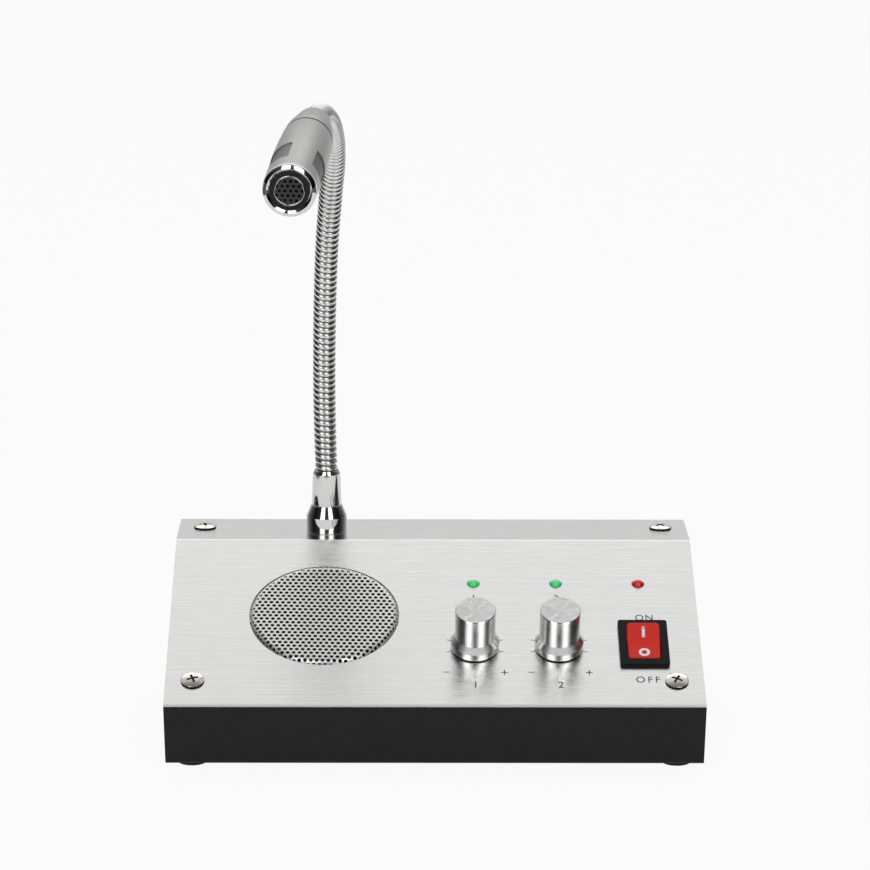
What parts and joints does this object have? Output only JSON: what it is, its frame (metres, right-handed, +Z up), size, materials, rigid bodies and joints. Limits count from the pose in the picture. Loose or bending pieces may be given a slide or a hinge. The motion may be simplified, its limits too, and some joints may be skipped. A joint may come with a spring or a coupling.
{
  "type": "teller window intercom",
  "caption": "Counter intercom: sloping brushed panel on a black case, with a speaker grille, volume knobs, indicator lamps, a rocker switch and a bendable gooseneck microphone.",
  "frame": {"origin": "on the desk plane under the middle of the case", "axes": "+X to the right of the person who sits at it, +Y away from that person, +Z up"},
  "size_m": [0.164, 0.1992, 0.2079],
  "materials": {
    "case_plastic": "fine spark texture, matte",
    "brushed_panel": "brushed along X, clear coated",
    "screw_nickel": "nickel plated",
    "foot_rubber": "matte",
    "zinc_steel": "zinc plated",
    "grille_steel": "nickel plated, perforated",
    "gasket_foam": "closed-cell foam",
    "paper_cone": "doped paper",
    "magnet_ferrite": "dull grey",
    "knob_aluminium": "turned and polished",
    "shaft_steel": "turned",
    "pot_steel": "pressed can",
    "lamp_green": "clear tinted",
    "lamp_red": "clear tinted",
    "board_laminate": "solder mask",
    "switch_black": "semi-gloss",
    "rocker_red": "gloss",
    "terminal_brass": "tinned brass",
    "neck_chrome": "polished",
    "tube_steel": "plated conduit",
    "mic_satin": "satin nickel",
    "mic_chrome": "polished",
    "mic_black": "satin",
    "mic_mesh": "dark woven mesh",
    "capsule_metal": "plain",
    "boot_rubber": "soft",
    "chip_black": "moulded",
    "sink_aluminium": "extruded",
    "capacitor_sleeve": "shrink sleeve",
    "jack_plastic": "moulded",
    "pin_nickel": "plated"
  },
  "bodies": {
    "case": {"lower_case": "case_plastic", "top_panel": "brushed_panel", "panel_screws": "screw_nickel", "rubber_feet": "foot_rubber", "foot_screws": "zinc_steel", "speaker_grille": "grille_steel", "speaker_gasket": "gasket_foam", "speaker_basket": "zinc_steel", "speaker_surround": "paper_cone", "speaker_cone": "paper_cone", "speaker_dust_cap": "paper_cone", "speaker_magnet": "magnet_ferrite", "panel_studs": "zinc_steel", "speaker_nuts": "zinc_steel", "pot_nuts": "zinc_steel", "control_board": "board_laminate", "rocker_housing": "switch_black", "rocker_terminals": "terminal_brass", "neck_collar": "neck_chrome", "neck_ferrule": "neck_chrome", "neck_lock_nut": "zinc_steel", "neck_washer": "zinc_steel", "neck_root": "tube_steel", "amp_board": "board_laminate", "board_screws": "zinc_steel", "amp_chip": "chip_black", "heat_sink": "sink_aluminium", "capacitors": "capacitor_sleeve", "window_jack": "jack_plastic", "recorder_jack": "jack_plastic", "power_jack": "jack_plastic", "power_pin": "pin_nickel", "inside_volume_pot": "pot_steel", "outside_volume_pot": "pot_steel", "inside_lamp": "lamp_green", "outside_lamp": "lamp_green", "power_lamp": "lamp_red"},
    "inside_volume": {"inside_volume_knob": "knob_aluminium", "inside_volume_shaft": "shaft_steel"},
    "outside_volume": {"outside_volume_knob": "knob_aluminium", "outside_volume_shaft": "shaft_steel"},
    "rocker": {"rocker": "rocker_red"},
    "mic_head": {"neck_tip": "tube_steel", "mic_rear_cone": "mic_satin", "mic_body": "mic_satin", "mic_screen": "mic_mesh", "mic_front_ring": "mic_chrome", "mic_face": "mic_black", "mic_grille": "mic_mesh", "mic_capsule": "capsule_metal", "mic_boot": "boot_rubber"},
    "neck_1": {"neck_link_1": "tube_steel"},
    "neck_2": {"neck_link_2": "tube_steel"},
    "neck_3": {"neck_link_3": "tube_steel"},
    "neck_4": {"neck_link_4": "tube_steel"},
    "neck_5": {"neck_link_5": "tube_steel"},
    "neck_6": {"neck_link_6": "tube_steel"},
    "neck_7": {"neck_link_7": "tube_steel"},
    "neck_8": {"neck_link_8": "tube_steel"},
    "neck_9": {"neck_link_9": "tube_steel"}
  },
  "joints": [
    {"name": "inside_volume_turn", "type": "hinge", "parent": "case", "child": "inside_volume", "pos_m": [0.0124, -0.02408, 0.03283], "axis": [0, 0.4174, -0.9087], "range_deg": [0, 300]},
    {"name": "outside_volume_turn", "type": "hinge", "parent": "case", "child": "outside_volume", "pos_m": [0.03829, -0.02408, 0.03283], "axis": [0, 0.4174, -0.9087], "range_deg": [0, 300]},
    {"name": "rocker_press", "type": "hinge", "parent": "case", "child": "rocker", "pos_m": [0.0644, -0.02309, 0.03284], "axis": [-1, 0, 0], "range_deg": [0, 24]},
    {"name": "neck_bend_1", "type": "hinge", "parent": "case", "child": "neck_1", "pos_m": [-0.03449, 0.03397, 0.08019], "axis": [0.9997, -0.0049, 0.0239], "range_deg": [-15, 15]},
    {"name": "neck_bend_2", "type": "hinge", "parent": "neck_1", "child": "neck_2", "pos_m": [-0.03473, 0.02815, 0.09928], "axis": [1, 0, 0], "range_deg": [-15, 15]},
    {"name": "neck_bend_3", "type": "hinge", "parent": "neck_2", "child": "neck_3", "pos_m": [-0.03456, 0.02027, 0.11763], "axis": [0, 0.9121, 0.4099], "range_deg": [-15, 15]},
    {"name": "neck_bend_4", "type": "hinge", "parent": "neck_3", "child": "neck_4", "pos_m": [-0.03409, 0.01192, 0.13578], "axis": [0.9996, 0.0126, -0.0268], "range_deg": [-15, 15]},
    {"name": "neck_bend_5", "type": "hinge", "parent": "neck_4", "child": "neck_5", "pos_m": [-0.03327, 0.0027, 0.15348], "axis": [0.9986, 0.026, -0.0454], "range_deg": [-15, 15]},
    {"name": "neck_bend_6", "type": "hinge", "parent": "neck_5", "child": "neck_6", "pos_m": [-0.03196, -0.00863, 0.16985], "axis": [0, 0.7705, 0.6374], "range_deg": [-15, 15]},
    {"name": "neck_bend_7", "type": "hinge", "parent": "neck_6", "child": "neck_7", "pos_m": [-0.03074, -0.0229, 0.18372], "axis": [0.999, 0.0344, -0.0269], "range_deg": [-15, 15]},
    {"name": "neck_bend_8", "type": "hinge", "parent": "neck_7", "child": "neck_8", "pos_m": [-0.03109, -0.03975, 0.19438], "axis": [0.9969, -0.0702, 0.0351], "range_deg": [-15, 15]},
    {"name": "neck_bend_9", "type": "hinge", "parent": "neck_8", "child": "neck_9", "pos_m": [-0.03281, -0.05838, 0.20127], "axis": [0, 0.2419, 0.9703], "range_deg": [-15, 15]},
    {"name": "neck_bend_10", "type": "hinge", "parent": "neck_9", "child": "mic_head", "pos_m": [-0.03458, -0.0781, 0.20343], "axis": [0.9965, -0.0836, -0.0022], "range_deg": [-15, 15]}
  ]
}
